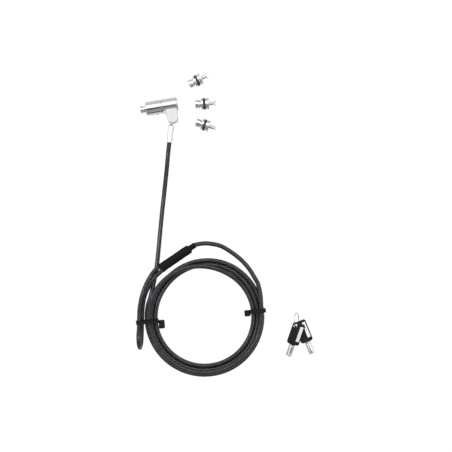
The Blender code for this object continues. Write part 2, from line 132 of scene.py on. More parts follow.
# Keys
KEY_LENGTH, KEY_WIDTH, KEY_THICKNESS = 27.0, 15.0, 3.6
KEY_MIDDLE = (9.5, 3.7)  # the head's middle, from its ring hole
KEY_HOLE_RADIUS = 2.6
KEY_TUBE_RADIUS, KEY_TUBE_BORE, KEY_TUBE_LENGTH = 3.65, 2.8, 15.2
LABEL_LENGTH, LABEL_WIDTH = 19.4, 3.8
LABEL_SHIFT = (-1, 4.2)  # the label's middle, from the head's middle
RING_RADIUS, RING_WIRE_RADIUS, RING_LEAN = 8.2, 0.5, -22.4

# The room as polished metal shows it: greys at shares of the way from -Y to +Y, and greys of the
# two cards at shares of the way out to either side
ROOM_WALLS = ((0.0, 0.03), (0.006, 0.04), (0.018, 0.27), (0.25, 0.28), (0.28, 0.03), (0.47, 0.03),
              (0.5, 1.0), (0.87, 1.0), (0.9, 0.5))
ROOM_CARDS = ((0.0, 0.0), (0.22, 0.0), (0.3, 0.85), (0.75, 0.85), (0.92, 0.35))
# Lights: name, place and size, in metres
BACK_STRIP = ("Back strip light", (0.0, 0.95, 1.6), (1.6, 0.1))
SIDE_STRIP = ("Side strip light", (-0.75, 0.0, 1.6), (0.06, 0.8))
SOFTBOX = ("Softbox", (0.18, -0.23, 1.6), (0.4, 0.4))
SWEEP_HALF_WIDTH = 4.0  # metres
SHARP_ANGLE = 32  # degrees between two faces from which their edge stays crisp


# ---- Frames and curves ----

def unit(vector):
    vector = np.asarray(vector, float)
    return vector / np.linalg.norm(vector)


def placing(origin, along, up=UP):
    """Turns millimetres in a piece's own frame into metres: its X is along, its Z close to up."""
    along = unit(along)
    across = unit(np.cross(up, along))
    made = np.eye(4)
    made[:3, :3] = np.stack((along, across, np.cross(along, across)), 1) * MM
    made[:3, 3] = origin
    return made


def joint_placing(name, up=UP):
    """The frame on a joint's axis."""
    return placing(JOINTS[name]["pos_m"], JOINTS[name]["axis"], up)


def shifted(place, offset):
    made = place.copy()
    made[:3, 3] += place[:3, :3] @ np.asarray(offset, float)
    return made


def turned_about_x(place, degrees):
    """The same frame, turned round its own X."""
    c, s = math.cos(math.radians(degrees)), math.sin(math.radians(degrees))
    made = place.copy()
    made[:3, :3] = place[:3, :3] @ np.array(((1, 0, 0), (0, c, -s), (0, s, c)))
    return made


def step(value, start, end):
    """0 before start and 1 after end, with a smooth 3t^2 - 2t^3 between."""
    t = np.clip((np.asarray(value, float) - start) / (end - start), 0, 1)
    return t * t * (3 - 2 * t)


def arc(centre, radius, start, end, steps):
    """Points at even angles along an arc: centre + radius (cos a, sin a), a in degrees."""
    a = np.radians(np.linspace(start, end, steps + 1))
    return np.stack((centre[0] + radius * np.cos(a), centre[1] + radius * np.sin(a)), 1)


def circle(centre, radius, count=30):
    return arc(centre, radius, 0, 360 - 360 / count, count - 1)


def rounded_box(width, height, radius, centre=(0, 0), steps=8):
    """A rectangle's outline with four quarter arcs at its corners, anticlockwise."""
    x, y = width / 2 - radius, height / 2 - radius
    corners = ((x, y, 0), (-x, y, 90), (-x, -y, 180), (x, -y, 270))
    return np.concatenate([
        arc((centre[0] + cx, centre[1] + cy), radius, start, start + 90, steps)
        for cx, cy, start in corners
    ])


def softened(points, radius, steps=4, closed=True):
    """Each corner P between A and B becomes the curve (1-t)^2 S + 2t(1-t) P + t^2 E, where S and E
    lie on the two edges, the radius or at most 0.45 of the edge away from P."""
    points = np.asarray(points, float)
    before, after = np.roll(points, 1, 0) - points, np.roll(points, -1, 0) - points
    cuts = []
    for edge in (before, after):
        length = np.linalg.norm(edge, axis=1, keepdims=True)
        cuts.append(points + edge / length * np.minimum(radius, 0.45 * length))
    t = np.linspace(0, 1, steps + 1)[None, :, None]
    start, corner, end = (part[:, None] for part in (cuts[0], points, cuts[1]))
    made = (1 - t) ** 2 * start + 2 * t * (1 - t) * corner + t**2 * end
    if not closed:
        ends = np.repeat(points[[0, -1], None], steps + 1, 1)
        made[0], made[-1] = ends
        return np.concatenate((made[0, :1], made[1:-1].reshape(-1, 2), made[-1, :1]))
    return made.reshape(-1, 2)


def smooth_path(points, spacing):
    """Even points along the Catmull-Rom curve through the given ones, all spans at once."""
    points = np.asarray(points, float)
    ends = 2 * points[:1] - points[1:2], 2 * points[-1:] - points[-2:-1]
    padded = np.concatenate((ends[0], points, ends[1]))
    a, b, c, d = (padded[i:len(padded) - 3 + i, None] for i in range(4))
    t = np.linspace(0, 1, 24, endpoint=False)[None, :, None]
    fine = 0.5 * (2 * b + (c - a) * t + (2 * a - 5 * b + 4 * c - d) * t**2
                  + (3 * b - a - 3 * c + d) * t**3)
    fine = np.concatenate((fine.reshape(-1, 3), points[-1:]))
    along = np.concatenate(((0,), np.cumsum(np.linalg.norm(np.diff(fine, axis=0), axis=1))))
    even = np.linspace(0, along[-1], max(4, round(along[-1] / spacing)) + 1)
    return np.stack([np.interp(even, along, fine[:, axis]) for axis in range(3)], 1)


# ---- Meshes ----

def new_piece(name, points, faces, place, material, weighted=False):
    """A mesh whose vertices hold its place, at an object that stays at the origin."""
    world = np.asarray(points, float) @ place[:3, :3].T + place[:3, 3]
    mesh = bpy.data.meshes.new(name)
    mesh.from_pydata(world, [], faces)
    bm = bmesh.new()
    bm.from_mesh(mesh)
    bmesh.ops.recalc_face_normals(bm, faces=bm.faces)
    bm.to_mesh(mesh)
    bm.free()
    obj = bpy.data.objects.new(name, mesh)
    bpy.context.scene.collection.objects.link(obj)
    mesh.materials.append(material)
    shade(obj)
    if weighted:
        modifier = obj.modifiers.new("Even shading", "WEIGHTED_NORMAL")
        modifier.keep_sharp = True
    return obj


def shade(obj):
    obj.data.shade_smooth()
    obj.data.set_sharp_from_angle(angle=math.radians(SHARP_ANGLE))


def grid_faces(rows, columns, closed):
    """Quads between neighbouring rows, each row joined end to end. The rows close up too, or else
    the first and the last get a flat cap each."""
    index = np.arange(rows * columns).reshape(rows, columns)
    low, high = (index, np.roll(index, -1, 0)) if closed else (index[:-1], index[1:])
    quads = np.stack((low, np.roll(low, -1, 1), np.roll(high, -1, 1), high), -1)
    faces = quads.reshape(-1, 4).tolist()
    if not closed:
        faces += [index[0, ::-1].tolist(), index[-1].tolist()]
    return faces


def surface(name, points, place, material, closed=False, weighted=False):
    rows, columns = points.shape[:2]
    faces = grid_faces(rows, columns, closed)
    return new_piece(name, points.reshape(-1, 3), faces, place, material, weighted)


def spun(name, profile, place, material, closed=True, steps=96, edge=0.25, reshape=None):
    """A profile (x, r) carried round X: (x, r cos a, r sin a). reshape(x, r, a) gives new x and r."""
    profile = softened(profile, edge, closed=closed) if edge else np.asarray(profile, float)
    a = np.linspace(0, math.tau, steps, endpoint=False)[None]
    x, r = np.broadcast_arrays(profile[:, :1], np.ones_like(a))[0], profile[:, 1:] * np.ones_like(a)
    if reshape:
        x, r = reshape(x, r, a)
    points = np.stack((x, r * np.cos(a), r * np.sin(a)), -1)
    return surface(name, points, place, material, closed)


def slab(name, outline, low, high, place, material, edge=0.3, steps=4):
    """A flat outline with a thickness and quarter-round edges. Row by row the outline moves inwards
    along its own normals by edge (1 - sin a), at height edge (1 - cos a) from the face."""
    outline = np.asarray(outline, float)
    ahead = np.roll(outline, -1, 0)
    area = (outline[:, 0] * ahead[:, 1] - outline[:, 1] * ahead[:, 0]).sum()
    outline = outline if area > 0 else outline[::-1]
    keep = np.linalg.norm(outline - np.roll(outline, 1, 0), axis=1) > 1e-6
    outline = outline[keep]
    sides = np.roll(outline, -1, 0) - outline
    normals = np.stack((sides[:, 1], -sides[:, 0]), 1) / np.linalg.norm(sides, axis=1)[:, None]
    before = np.roll(normals, 1, 0)
    mitre = (normals + before) / (1 + (normals * before).sum(1, keepdims=True))
    a = np.linspace(0, math.pi / 2, steps + 1)
    inset = np.concatenate((edge * (1 - np.sin(a)), edge * (1 - np.sin(a[::-1]))))
    height = np.concatenate((low + edge * (1 - np.cos(a)), high - edge * (1 - np.cos(a[::-1]))))
    flat = outline[None] - inset[:, None, None] * mitre[None]
    tall = np.broadcast_to(height[:, None, None], (*flat.shape[:2], 1))
    return surface(name, np.concatenate((flat, tall), -1), place, material, weighted=True)


def combined(obj, other, operation):
    """Joins obj with the other piece or cuts it by it. The faces that the other one leaves keep its
    finish, and the other one is used up."""
    modifier = obj.modifiers.new(operation.title(), "BOOLEAN")
    modifier.operation, modifier.solver, modifier.object = operation, "EXACT", other
    modifier.material_mode = "TRANSFER"
    while obj.modifiers[0] != modifier:
        obj.modifiers.remove(obj.modifiers[0])
    bpy.context.view_layer.update()
    graph = bpy.context.evaluated_depsgraph_get()
    made = bpy.data.meshes.new_from_object(obj.evaluated_get(graph))
    if not made.polygons:
        raise RuntimeError(f"{obj.name} lost its whole shape in a {operation} with {other.name}")
    obj.modifiers.clear()
    old, obj.data = obj.data, made
    made.name = obj.name
    bpy.data.meshes.remove(old)
    bpy.data.objects.remove(other)
    shade(obj)
    obj.modifiers.new("Even shading", "WEIGHTED_NORMAL").keep_sharp = True
    return obj


def carried_frames(path):
    """Two directions across the path at each point, turned as little as possible from one point to
    the next, so that nothing twists."""
    tangents = np.gradient(path, axis=0)
    tangents /= np.linalg.norm(tangents, axis=1, keepdims=True)
    side = unit(np.cross(tangents[0], UP + 0.01))  # leaning, for a path that starts upright
    sides = [side]
    for tangent in tangents[1:]:
        side = unit(side - tangent * (side @ tangent))
        sides.append(side)
    sides = np.array(sides)
    return sides, np.cross(tangents, sides)


def tube(name, path, radius, place, material, sides=20):
    """A round section carried along a path: p + r (cos a side + sin a other). Its UV map holds the
    length so far in metres, and the share of a turn round the section."""
    first, second = carried_frames(path)
    a = np.linspace(0, math.tau, sides, endpoint=False)[None, :, None]
    points = path[:, None] + radius * (np.cos(a) * first[:, None] + np.sin(a) * second[:, None])
    obj = surface(name, points, place, material)
    along = np.concatenate(((0,), np.cumsum(np.linalg.norm(np.diff(path, axis=0), axis=1)))) * MM
    count = len(obj.data.loops)
    corner = np.empty(count, np.int32)
    obj.data.loops.foreach_get("vertex_index", corner)
    turn = corner % sides / sides
    starts = np.empty(len(obj.data.polygons), np.int32)
    totals = np.empty(len(obj.data.polygons), np.int32)
    obj.data.polygons.foreach_get("loop_start", starts)
    obj.data.polygons.foreach_get("loop_total", totals)
    face_most = np.repeat(np.maximum.reduceat(turn, starts), totals)
    face_least = np.repeat(np.minimum.reduceat(turn, starts), totals)
    seam = (face_most - face_least > 0.5) & (turn < 0.5) & (np.repeat(totals, totals) == 4)
    layer = obj.data.uv_layers.new(name="Lay")
    layer.data.foreach_set("uv", np.stack((along[corner // sides], turn + seam), 1).ravel())
    return obj


# ---- Materials ----

def linear(hex_code):
    """An sRGB hex colour as linear RGBA."""
    channels = (int(hex_code[i:i + 2], 16) / 255 for i in (1, 3, 5))
    return (*(c / 12.92 if c <= 0.04045 else ((c + 0.055) / 1.055) ** 2.4 for c in channels), 1)


def add_node(tree, kind, inputs=None, **settings):
    """Adds a node. Each input is a value or the socket that feeds it; settings are its own."""
    node = tree.nodes.new(kind)
    for name, value in settings.items():
        setattr(node, name, value)
    for name, value in (inputs or {}).items():
        if isinstance(value, bpy.types.NodeSocket):
            tree.links.new(value, node.inputs[name])
        else:
            node.inputs[name].default_value = value
    return node


def blank(name):
    """An empty Principled material: its tree and its shader."""
    made = bpy.data.materials.new(name)
    made.use_nodes = True
    return made, made.node_tree, made.node_tree.nodes["Principled BSDF"]


def finish(name, light, dark, metallic, roughness, grain_mm, relief_mm, stretch=(1, 1, 1),
           cloud_mm=9.0, **sockets):
    """A surface with drifting tone, uneven gloss and fine relief. The grain's size and depth are in
    millimetres, and stretch draws the grain out, as polishing or brushing does."""
    made, tree, shader = blank(name)
    place = add_node(tree, "ShaderNodeTexCoord").outputs["Object"]
    drawn = add_node(tree, "ShaderNodeMapping", {"Vector": place, "Scale": stretch})
    cloud = add_node(tree, "ShaderNodeTexNoise", {
        "Vector": place, "Scale": 1 / (cloud_mm * MM), "Detail": 3.0, "Roughness": 0.55})
    grain = add_node(tree, "ShaderNodeTexNoise", {
        "Vector": drawn.outputs[0], "Scale": 1 / (grain_mm * MM), "Detail": 4.0})
    both = add_node(tree, "ShaderNodeMath", {0: cloud.outputs[0], 1: grain.outputs[0], 2: 0.2},
                    operation="MULTIPLY_ADD")
    share = add_node(tree, "ShaderNodeMapRange", {"Value": both.outputs[0], "From Min": 0.3,
                                                  "From Max": 0.6})
    tone = add_node(tree, "ShaderNodeMix", {0: share.outputs[0], 6: linear(dark),
                                            7: linear(light)}, data_type="RGBA")
    gloss = add_node(tree, "ShaderNodeMapRange", {
        "Value": grain.outputs[0], "From Min": 0.3, "From Max": 0.7,
        "To Min": roughness[0], "To Max": roughness[1]})
    relief = add_node(tree, "ShaderNodeBump", {
        "Height": grain.outputs[0], "Strength": 1.0, "Distance": relief_mm * MM})
    tree.links.new(tone.outputs[2], shader.inputs["Base Color"])
    tree.links.new(gloss.outputs[0], shader.inputs["Roughness"])
    tree.links.new(relief.outputs[0], shader.inputs["Normal"])
    shader.inputs["Metallic"].default_value = metallic
    for socket, value in sockets.items():
        shader.inputs[socket.replace("_", " ")].default_value = value
    return made


def coated_cable(lay, strands, dark, light):
    """Smoke-clear PVC over galvanised steel strand: the strands' spiral lay shows through a dark
    glossy coat, and finer wires run the other way across it. Their light colour is partly the
    steel's own and partly a painted glint, a bright line on each strand's crest. Each of the two
    waves has the phase tau count (turn + length / pitch), from the piece's own UV map."""
    made, tree, shader = blank("Smoke PVC over steel strand")
    spot = add_node(tree, "ShaderNodeUVMap", uv_map="Lay").outputs[0]
    split = add_node(tree, "ShaderNodeSeparateXYZ", {0: spot})

    def lay_wave(count, pitch):
        turn = add_node(tree, "ShaderNodeMath", {0: split.outputs[0], 1: 1 / pitch,
                                                 2: split.outputs[1]}, operation="MULTIPLY_ADD")
        phase = add_node(tree, "ShaderNodeMath", {0: turn.outputs[0], 1: math.tau * count},
                         operation="MULTIPLY")
        wave = add_node(tree, "ShaderNodeMath", {0: phase.outputs[0]}, operation="SINE")
        return add_node(tree, "ShaderNodeMapRange", {"Value": wave.outputs[0], "From Min": -1.0,
                                                     "From Max": 1.0}).outputs[0]

    strand, wire = lay_wave(strands, lay), lay_wave(5 * strands, -0.6 * lay)
    weave = add_node(tree, "ShaderNodeMath", {0: wire, 1: 0.45, 2: 0.45},
                     operation="MULTIPLY_ADD")
    # Squared, the strand wave narrows to a bright line on each crest: a painted glint over the steel's own colour
    crest = add_node(tree, "ShaderNodeMath", {0: strand, 1: 2.0}, operation="POWER")
    glint = add_node(tree, "ShaderNodeMath", {0: crest.outputs[0], 1: weave.outputs[0]},
                     operation="MULTIPLY")
    place = add_node(tree, "ShaderNodeTexCoord").outputs["Object"]
    cloud = add_node(tree, "ShaderNodeTexNoise", {"Vector": place, "Scale": 1 / (6 * MM)})
    patchy = add_node(tree, "ShaderNodeMath", {0: glint.outputs[0], 1: cloud.outputs[0]},
                      operation="MULTIPLY")
    share = add_node(tree, "ShaderNodeMath", {0: patchy.outputs[0], 1: 1.8},
                     operation="MULTIPLY", use_clamp=True)
    tone = add_node(tree, "ShaderNodeMix", {0: share.outputs[0], 6: linear(dark),
                                            7: (*light, 1)}, data_type="RGBA")
    relief = add_node(tree, "ShaderNodeBump", {"Height": strand, "Strength": 0.5,
                                               "Distance": 0.12 * MM})
    tree.links.new(tone.outputs[2], shader.inputs["Base Color"])
    tree.links.new(relief.outputs[0], shader.inputs["Normal"])
    shader.inputs["Roughness"].default_value = 0.4
    shader.inputs["Specular IOR Level"].default_value = 0.05
    shader.inputs["Coat Weight"].default_value = 0.5
    shader.inputs["Coat Roughness"].default_value = 0.08
    shader.inputs["Coat IOR"].default_value = 1.45
    return made


def all_finishes(settings):
    """Every finish, under the name of the frame's material slot that it serves."""
    return {
        # Zinc casting, nickel and chrome plated, then buffed: mirror bright with faint haze
        "chrome": finish("Buffed chrome plate", "#c9c9cc", "#bdbdc1", 1.0, (0.05, 0.13),
                         1.2, 0.0015),
        # The same casting where it is bead blasted and clear coated: pale, with a soft sheen
        "satin_zinc": finish("Satin nickel plate", "#b4b4b6", "#adadaf", 0.35, (0.34, 0.44),
                             0.35, 0.005),
        # Aluminium sleeve pressed onto the strand: drawn along, its tone drifting a little greyer in places
        "zinc": finish("Drawn aluminium", "#dcdcdd", "#b4b4b7", 1.0, (0.2, 0.34), 1.1, 0.03,
                       (3, 0.3, 3)),
        # Cold-headed pins, springs and spindles: bright, their tone drifting a little darker in places
        "steel": finish("Bright steel", "#b8b9bc", "#94959a", 1.0, (0.3, 0.45), 0.8, 0.012),
        # Oil-blackened screw
        "black_steel": finish("Blackened steel", "#2a2a2c", "#18181a", 1.0, (0.35, 0.5), 0.4,
                              0.02),
        # Turned brass post
        "brass": finish("Turned brass", "#d9b877", "#b8945a", 1.0, (0.22, 0.36), 0.5, 0.015),
        # Moulded nitrile rubber: deep black, dull
        "rubber": finish("Moulded rubber", "#1f1f20", "#131314", 0.0, (0.55, 0.75), 0.5, 0.03,
                         IOR=1.52),
        # Nylon 6.6 tie: black, with a waxy shine and a moulded grain
        "nylon": finish("Black nylon", "#0c0c0d", "#060607", 0.0, (0.38, 0.55), 0.6, 0.03,
                        IOR=1.53, Specular_IOR_Level=0.12),
        # Polyolefin heat-shrink: matte, pulled into fine creases over the crimp
        "heat_shrink": finish("Heat-shrunk polyolefin", "#0a0a0b", "#040405", 0.0,
                              (0.5, 0.68), 1.6, 0.12, (1.6, 0.7, 1), IOR=1.5,
                              Specular_IOR_Level=0.1),
        "coated_cable": coated_cable(settings.lay_length, 6, "#040405", settings.glint_colour),
        # ABS key head from a spark-eroded mould: fine even grain
        "black_plastic": finish("Textured ABS", "#161617", "#0c0c0d", 0.0, (0.5, 0.66), 0.3,
                                0.035, IOR=1.54, Specular_IOR_Level=0.15),
        # Thin aluminium plate, brushed and lacquered
        "silver_label": finish("Brushed aluminium plate", "#dcdcde", "#cfcfd1", 0.35,
                               (0.3, 0.44), 0.7, 0.01, (4, 0.4, 1)),
    }


def finish_for(slot):
    """The finish that serves a slot, all of them made on the first call."""
    made = bpy.context.scene.get("cable_lock_finishes")
    if made is None:
        finishes = all_finishes(bpy.context.scene.cable_lock_cable)
        made = {key: material.name for key, material in finishes.items()}
        bpy.context.scene["cable_lock_finishes"] = made
    return bpy.data.materials[made[slot]]


def settle(piece, body, slot, *nodes):
    """The piece moves with a body and stands for frame nodes. The slot is not used."""
    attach(piece, body)
    if nodes:
        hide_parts(*nodes)
    return piece


# ---- Cable ----

def coil_centre():
    low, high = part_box("cable_coil")
    return np.array(((low.x + high.x) / 2, (low.y + high.y) / 2, 0.0))


def coil_route():
    """Three turns side by side, each moving in by a diameter where the last one ends, then most of
    a turn on top: r and z are sums of smooth steps along the angle, in degrees."""
    d = np.arange(COIL_START, COIL_STOP, COIL_STEP)
    outer, middle, inner = TURN_RADII
    r = (outer - (outer - middle) * step(d, *TO_MIDDLE) - (middle - inner) * step(d, *TO_INNER)
         + (TOP_TURN_RADIUS - inner) * step(d, *TO_TOP) + LEAVE_REACH * step(d, *LEAVE))
    z = (TURN_HEIGHT + CLIMB_HEIGHT * step(d, *CLIMB) - SINK_DEPTH * step(d, *SINK)
         + LEAVE_RISE * step(d, *LEAVE))
    a = np.radians(d)
    return np.stack((r * np.cos(a), r * np.sin(a), z), 1)


def sleeve_axes():
    along = unit(SLEEVE_LOW - SLEEVE_HIGH)
    return along, unit(np.cross(UP, along))


def cable_path():
    """The whole route: ferrule, lead, coil, arc, through the sleeve beside its middle, round the
    eye, and back into the sleeve on the other side."""
    _, across = sleeve_axes()
    in_sleeve = np.linspace(0.2, 0.8, 4)[:, None]
    forth = SLEEVE_HIGH + (SLEEVE_LOW - SLEEVE_HIGH) * in_sleeve
    forth = forth - across * STRAND_APART * step(in_sleeve, 0, 0.85)
    back = SLEEVE_LOW + (SLEEVE_HIGH - SLEEVE_LOW) * np.array((0.2, 0.4, 0.55))[:, None]
    back = back + across * STRAND_APART
    route = np.concatenate((FERRULE_BORE, LEAD_ROUTE, coil_route(), COIL_LEAVING, ARC_ROUTE,
                            forth, EYE_ROUTE, back))
    return smooth_path(route, 2.0)


class CABLELOCK_OT_cable(bpy.types.Operator):
    """Builds the coated cable, its heat-shrink sleeve and its two ties"""

    bl_idname = "cable_lock.cable"
    bl_label = "Cable, sleeve and ties"

    def execute(self, context):
        settings = context.scene.cable_lock_cable
        radius = settings.diameter / 2 / MM
        place = placing(coil_centre(), (1, 0, 0))
        path = cable_path()
        cable = tube("cable", path, radius, place, finish_for("coated_cable"))
        settle(cable, "cable", "coated_cable", "cable_lead", "cable_coil", "cable_arc",
               "cable_eye")
        sleeve = settle(build_sleeve(place), "cable", "heat_shrink", "eye_sleeve")
        on_cable = [sleeve, frame["nodes"]["eye_crimp"]]
        for name, sizes in TIES.items():
            on_cable += build_tie(name, *sizes)
        return {"FINISHED"}


def build_sleeve(place):
    """Heat-shrink tube: an oval section carried from end to end and back inside. It narrows where
    it holds only the single strand, its ends are cut ragged, and low waves along and round it are
    the creases over the crimp."""
    along, across = sleeve_axes()
    rise = np.cross(along, across)
    length = np.linalg.norm(SLEEVE_HIGH - SLEEVE_LOW)
    t = np.linspace(0, 1, 90)[:, None]
    a = np.linspace(0, math.tau, 64, endpoint=False)[None]
    ragged_step = 0.83 + 0.018 * np.sin(3 * a + 1) + 0.009 * np.sin(8 * a)
    narrow = step(t, ragged_step, ragged_step + 0.025)
    flare = SLEEVE_FLARE * (1 - step(t, 0, 0.08))
    wide = SLEEVE_WIDE - SLEEVE_NARROWING * narrow + flare
    tall = SLEEVE_TALL - SLEEVE_LOWERING * narrow + 0.2 * flare
    crease = 0.1 * np.sin(26 * t + 2 * a) * np.sin(9 * t + a + 1) + 0.06 * np.sin(61 * t + 5 * a)
    oval = (np.abs(np.cos(a)) ** 3 + np.abs(np.sin(a)) ** 3) ** (-1 / 3)
    oval = 1 + 0.5 * (oval - 1)  # between an ellipse and a box with round corners
    cut = (0.022 * np.sin(2 * a + 0.5) + 0.014 * np.sin(7 * a)) * (
        (1 - step(t, 0, 0.1)) - step(t, 0.9, 1))

    def skin(grow):
        reach = (t + cut) * length
        y = (wide + grow + crease) * oval * np.cos(a)
        z = (tall + grow + crease) * oval * np.sin(a)
        return (SLEEVE_LOW - along * reach[..., None] + across * y[..., None]
                + rise * z[..., None])

    points = np.concatenate((skin(0.0), skin(-SLEEVE_WALL)[::-1]))
    return surface("sleeve", points, place, finish_for("heat_shrink"), closed=True)


def build_tie(name, angle, reach, tall, head_length, head_shift):
    """A strap carried round the coil's section: a rounded rectangle of a path, and across it a flat
    section whose outer face has fine ridges 1 - cos(phase). Its head sits on the coil's inside and
    has a pocket."""
    turn = math.radians(angle)
    radial = np.array((math.cos(turn), math.sin(turn), 0.0))
    frame_here = placing(coil_centre(), radial, np.cross(radial, UP))  # its Y is up
    inner = COIL_INNER_RADIUS - 0.3
    path = rounded_box(reach + 1, tall, 2.7, (inner + reach / 2, (tall + 1) / 2), steps=10)
    path = np.concatenate((path, path[:1]))
    along = np.concatenate(((0,), np.cumsum(np.linalg.norm(np.diff(path, axis=0), axis=1))))
    even = np.linspace(0, along[-1], 260, endpoint=False)
    path = np.stack([np.interp(even, along, path[:, i]) for i in (0, 1)], 1)
    tangent = np.roll(path, -1, 0) - np.roll(path, 1, 0)
    outward = np.stack((tangent[:, 1], -tangent[:, 0]), 1)
    outward /= np.linalg.norm(outward, axis=1)[:, None]
    ridge = RIDGE_DEPTH / 2 * (1 - np.cos(even * math.tau / RIDGE_SPACING))[:, None]
    section = rounded_box(STRAP_WIDTH, STRAP_THICKNESS, 0.25, steps=3)
    on_ridge = (section[:, 1] > 0.2) & (np.abs(section[:, 0]) < 2.1)
    lift = section[None, :, 1] - ridge * on_ridge[None]
    flat = path[:, None] + outward[:, None] * lift[..., None]
    wide = np.broadcast_to(section[None, :, :1], (*flat.shape[:2], 1))
    nylon = finish_for("nylon")
    tie = surface(name + "_strap", np.concatenate((flat, wide), -1), frame_here, nylon, True)
    settle(tie, "cable", "nylon", name)
    outline = rounded_box(TIE_HEAD_REACH, TIE_HEAD_TALL, 1.9, (inner - 4.3, TIE_HEAD_HEIGHT))
    head = slab(name + "_head", outline, head_shift - head_length / 2,
                head_shift + head_length / 2, frame_here, nylon, edge=1.3)
    outline = rounded_box(1.6, 3.2, 0.3, (inner - 6.0, TIE_HEAD_HEIGHT))
    pocket = slab(name + "_pocket", outline, head_shift - head_length, head_shift + head_length,
                  frame_here, nylon, edge=0.05)
    combined(head, pocket, "DIFFERENCE")
    settle(head, "cable", "nylon", name)
    return tie, head


# ---- Lock head ----

class CABLELOCK_OT_lock_head(bpy.types.Operator):
    """Builds the barrel, the collar with its tongue, the nose ring, the push-in cylinder and the
    ferrule"""

    bl_idname = "cable_lock.lock_head"
    bl_label = "Lock head"

    def execute(self, context):
        edge = context.scene.cable_lock_head.edge / MM
        head = joint_placing("barrel_turn")
        build_barrel(head, edge)
        build_collar(head, edge)
        build_lock_cylinder(head)
        nose = spun("nose", (
            (COLLAR_END + 0.3, SOCKET_BORE), (COLLAR_END + 0.3, BARREL_RADIUS),
            (NOSE_END - 0.6, BARREL_RADIUS), (NOSE_END, 7.8), (NOSE_END, SOCKET_BORE),
        ), head, finish_for("chrome"), steps=128, edge=0.2)
        settle(nose, "collar", "chrome", "nose_ring")
        build_ferrule()
        return {"FINISHED"}


def build_barrel(head, edge):
    """The turning shell, with a blind screw hole on its underside."""
    shell = spun("barrel", (
        (0, 8.1), (0.4, BARREL_RADIUS), (18.9, BARREL_RADIUS), (19.1, 8.2), (19.1, BARREL_BORE),
        (CLIP_END, BARREL_BORE), (CLIP_END, 7.7), (CLIP_START, 7.7), (CLIP_START, BARREL_BORE),
        (1.8, BARREL_BORE), (1.8, KEY_END_BORE), (0, KEY_END_BORE),
    ), head, finish_for("chrome"), steps=128, edge=edge)
    hole = slab("screw_hole", circle((SCREW_X, 0), SCREW_RADIUS), 6, 10,
                turned_about_x(head, 90), finish_for("chrome"), edge=0.05, steps=1)
    combined(shell, hole, "DIFFERENCE")
    settle(shell, "barrel", "chrome", "barrel_shell")


def build_collar(head, edge):
    """Collar and forked tongue in one: a turned body, a tapered slab with a round end and a hollow
    fillet, cut by the socket, the lug's slot and the pin's blind hole."""
    chrome = finish_for("chrome")
    collar = spun("collar", (
        (14.4, 3.0), (14.4, 6.7), (CLIP_START, 6.7), (CLIP_START, 6.0), (CLIP_END, 6.0),
        (CLIP_END, 6.7), (COLLAR_START, 6.7), (COLLAR_START, 8.2),
        (COLLAR_START + 0.3, BARREL_RADIUS), (COLLAR_END, BARREL_RADIUS), (COLLAR_END, 3.0),
    ), head, chrome, closed=False, steps=128, edge=edge)
    satin = finish_for("satin_zinc")
    tongue = slab("tongue", tongue_outline(), -TONGUE_HALF_THICKNESS, TONGUE_HALF_THICKNESS,
                  head, satin, edge=1.15, steps=6)
    combined(collar, tongue, "UNION")
    t = np.linspace(0, 1, 12)[:, None]
    curve = ((1 - t) ** 2 * (20.0, -8.1) + 2 * t * (1 - t) * (22.7, -8.9) + t**2 * (23.5, -13.5))
    fillet = slab("fillet", np.concatenate((curve, ((25.5, -13.5), (25.5, -4), (20.0, -4)))),
                  -FILLET_HALF_THICKNESS, FILLET_HALF_THICKNESS, head, satin, edge=0.9)
    combined(collar, fillet, "UNION")
    cavity = spun("cavity", (
        (38, SOCKET_BORE), (37.2, SOCKET_BORE), (37.2, 6.9), (34.8, 6.9), (34.8, SOCKET_BORE),
        (18.0, SOCKET_BORE), (18.0, 1.5), (13, 1.5),
    ), head, satin, closed=False, steps=96, edge=0.05)
    combined(collar, cavity, "DIFFERENCE")
    pivot = shifted(head, (PIVOT_X, -PIVOT_DROP, 0))
    slot = slab("slot", np.concatenate((arc((0, 0), 4.5, -20, 200, 24),
                                        arc((0, 0), 14, -150, -30, 12))),
                -SLOT_HALF_WIDTH, SLOT_HALF_WIDTH, pivot, satin, edge=0.05, steps=1)
    combined(collar, slot, "DIFFERENCE")
    pin_hole = slab("pin_hole", circle((0, 0), PIN_RADIUS), -9, 5.8, pivot, satin, edge=0.05,
                    steps=1)
    combined(collar, pin_hole, "DIFFERENCE")
    settle(collar, "collar", "chrome", "collar_housing")


def tongue_outline():
    """Sides that taper towards a round end."""
    root, low = (TONGUE_ROOT_HALF_WIDTH, -3.6), (TONGUE_TIP_HALF_WIDTH, -18.8)
    tip = arc((PIVOT_X, -15.2), TONGUE_END_RADIUS, -31, -149, 30)[1:-1]
    right = np.array(((PIVOT_X + root[0], root[1]), (PIVOT_X + low[0], low[1])))
    left = np.array(((PIVOT_X - low[0], low[1]), (PIVOT_X - root[0], root[1])))
    return np.concatenate((right, tip, left))


def build_lock_cylinder(head):
    """The push-in cylinder: its nub has a rounded rim and a groove behind it."""
    start = -NUB_LENGTH
    cylinder = spun("push_cylinder", (
        (start, 3.8), (start, NUB_RADIUS), (start + 2.6, NUB_RADIUS), (start + 2.8, 4.05),
        (start + 3.6, 4.05), (start + 3.8, NUB_RADIUS), (2.2, NUB_RADIUS), (2.2, 6.4),
        (6.4, 6.4), (6.4, 3.3), (9.4, 3.3), (9.4, 2.2), (3.0, 2.2), (3.0, 3.8),
    ), head, finish_for("chrome"), steps=96, edge=0.3)
    settle(cylinder, "lock_cylinder", "chrome", "lock_cylinder")


